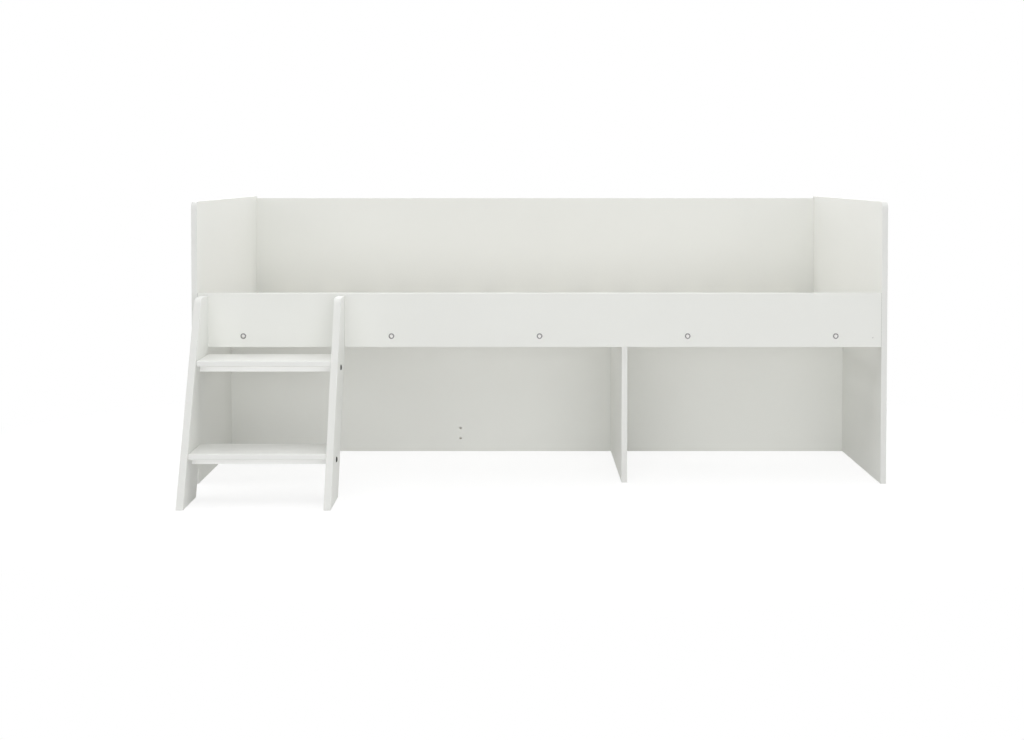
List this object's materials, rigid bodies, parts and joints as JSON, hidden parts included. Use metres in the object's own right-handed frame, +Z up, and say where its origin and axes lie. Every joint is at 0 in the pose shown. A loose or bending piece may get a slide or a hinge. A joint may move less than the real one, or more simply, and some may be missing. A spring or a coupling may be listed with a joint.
{
  "type": "cabin bed",
  "caption": "Low cabin bed in white board: end panels, front rail and upper back panel round a slatted base over open storage bays, with a short leaning ladder bolted to its front.",
  "frame": {"origin": "on the floor, under the middle of the box that the bed and its ladder take up together", "axes": "+X along the bed's length to the right as seen from the ladder's side, +Y from the ladder's side to the back of the bed, +Z up"},
  "size_m": [1.96, 1.2766, 0.798],
  "materials": {
    "white_board": "white melamine-faced particle board, satin, with a fine orange-peel texture and matching edge band",
    "ladder_board": "white coated board, satin, with slightly eased edges",
    "pine": "planed pine under a thin white wash, with straight grain and small knots",
    "nickel_bolt": "nickel-plated steel with plain mushroom heads, on the rail and the back",
    "dark_bolt": "darkened steel with low heads and a hexagon socket, on the ladder",
    "zinc_steel": "zinc-plated steel"
  },
  "bodies": {
    "root": {"left_end_panel": "white_board", "right_end_panel": "white_board", "front_rail": "white_board", "upper_back_panel": "white_board", "centre_panel": "white_board", "divider_panel": "white_board", "ladder_stringer_left": "ladder_board", "ladder_stringer_right": "ladder_board", "upper_tread": "ladder_board", "lower_tread": "ladder_board", "upper_tread_bearer": "ladder_board", "lower_tread_bearer": "ladder_board", "front_slat_ledger": "pine", "back_slat_ledger": "pine", "slat_01": "pine", "slat_02": "pine", "slat_03": "pine", "slat_04": "pine", "slat_05": "pine", "slat_06": "pine", "slat_07": "pine", "slat_08": "pine", "slat_09": "pine", "slat_10": "pine", "slat_11": "pine", "slat_12": "pine", "rail_bolt_1": "nickel_bolt", "rail_bolt_2": "nickel_bolt", "rail_bolt_3": "nickel_bolt", "rail_bolt_4": "nickel_bolt", "rail_bolt_5": "nickel_bolt", "back_bolt_1": "nickel_bolt", "back_bolt_2": "nickel_bolt", "back_bolt_3": "nickel_bolt", "back_bolt_4": "nickel_bolt", "back_bolt_5": "nickel_bolt", "ladder_bolt_left_lower": "dark_bolt", "ladder_bolt_left_upper": "dark_bolt", "ladder_bolt_right_lower": "dark_bolt", "ladder_bolt_right_upper": "dark_bolt", "ladder_fixing_bolt_left": "dark_bolt", "ladder_fixing_bolt_right": "dark_bolt", "rail_connector_left_lower": "zinc_steel", "rail_connector_left_upper": "zinc_steel", "rail_connector_right_lower": "zinc_steel", "rail_connector_right_upper": "zinc_steel", "back_connector_left_lower": "zinc_steel", "back_connector_left_upper": "zinc_steel", "back_connector_right_lower": "zinc_steel", "back_connector_right_upper": "zinc_steel", "centre_connector_left_lower": "zinc_steel", "centre_connector_left_upper": "zinc_steel", "centre_connector_right_lower": "zinc_steel", "centre_connector_right_upper": "zinc_steel", "divider_connector_lower": "zinc_steel", "divider_connector_upper": "zinc_steel", "barrel_nut_left_lower": "zinc_steel", "barrel_nut_left_upper": "zinc_steel", "barrel_nut_right_lower": "zinc_steel", "barrel_nut_right_upper": "zinc_steel"}
  },
  "joints": []
}
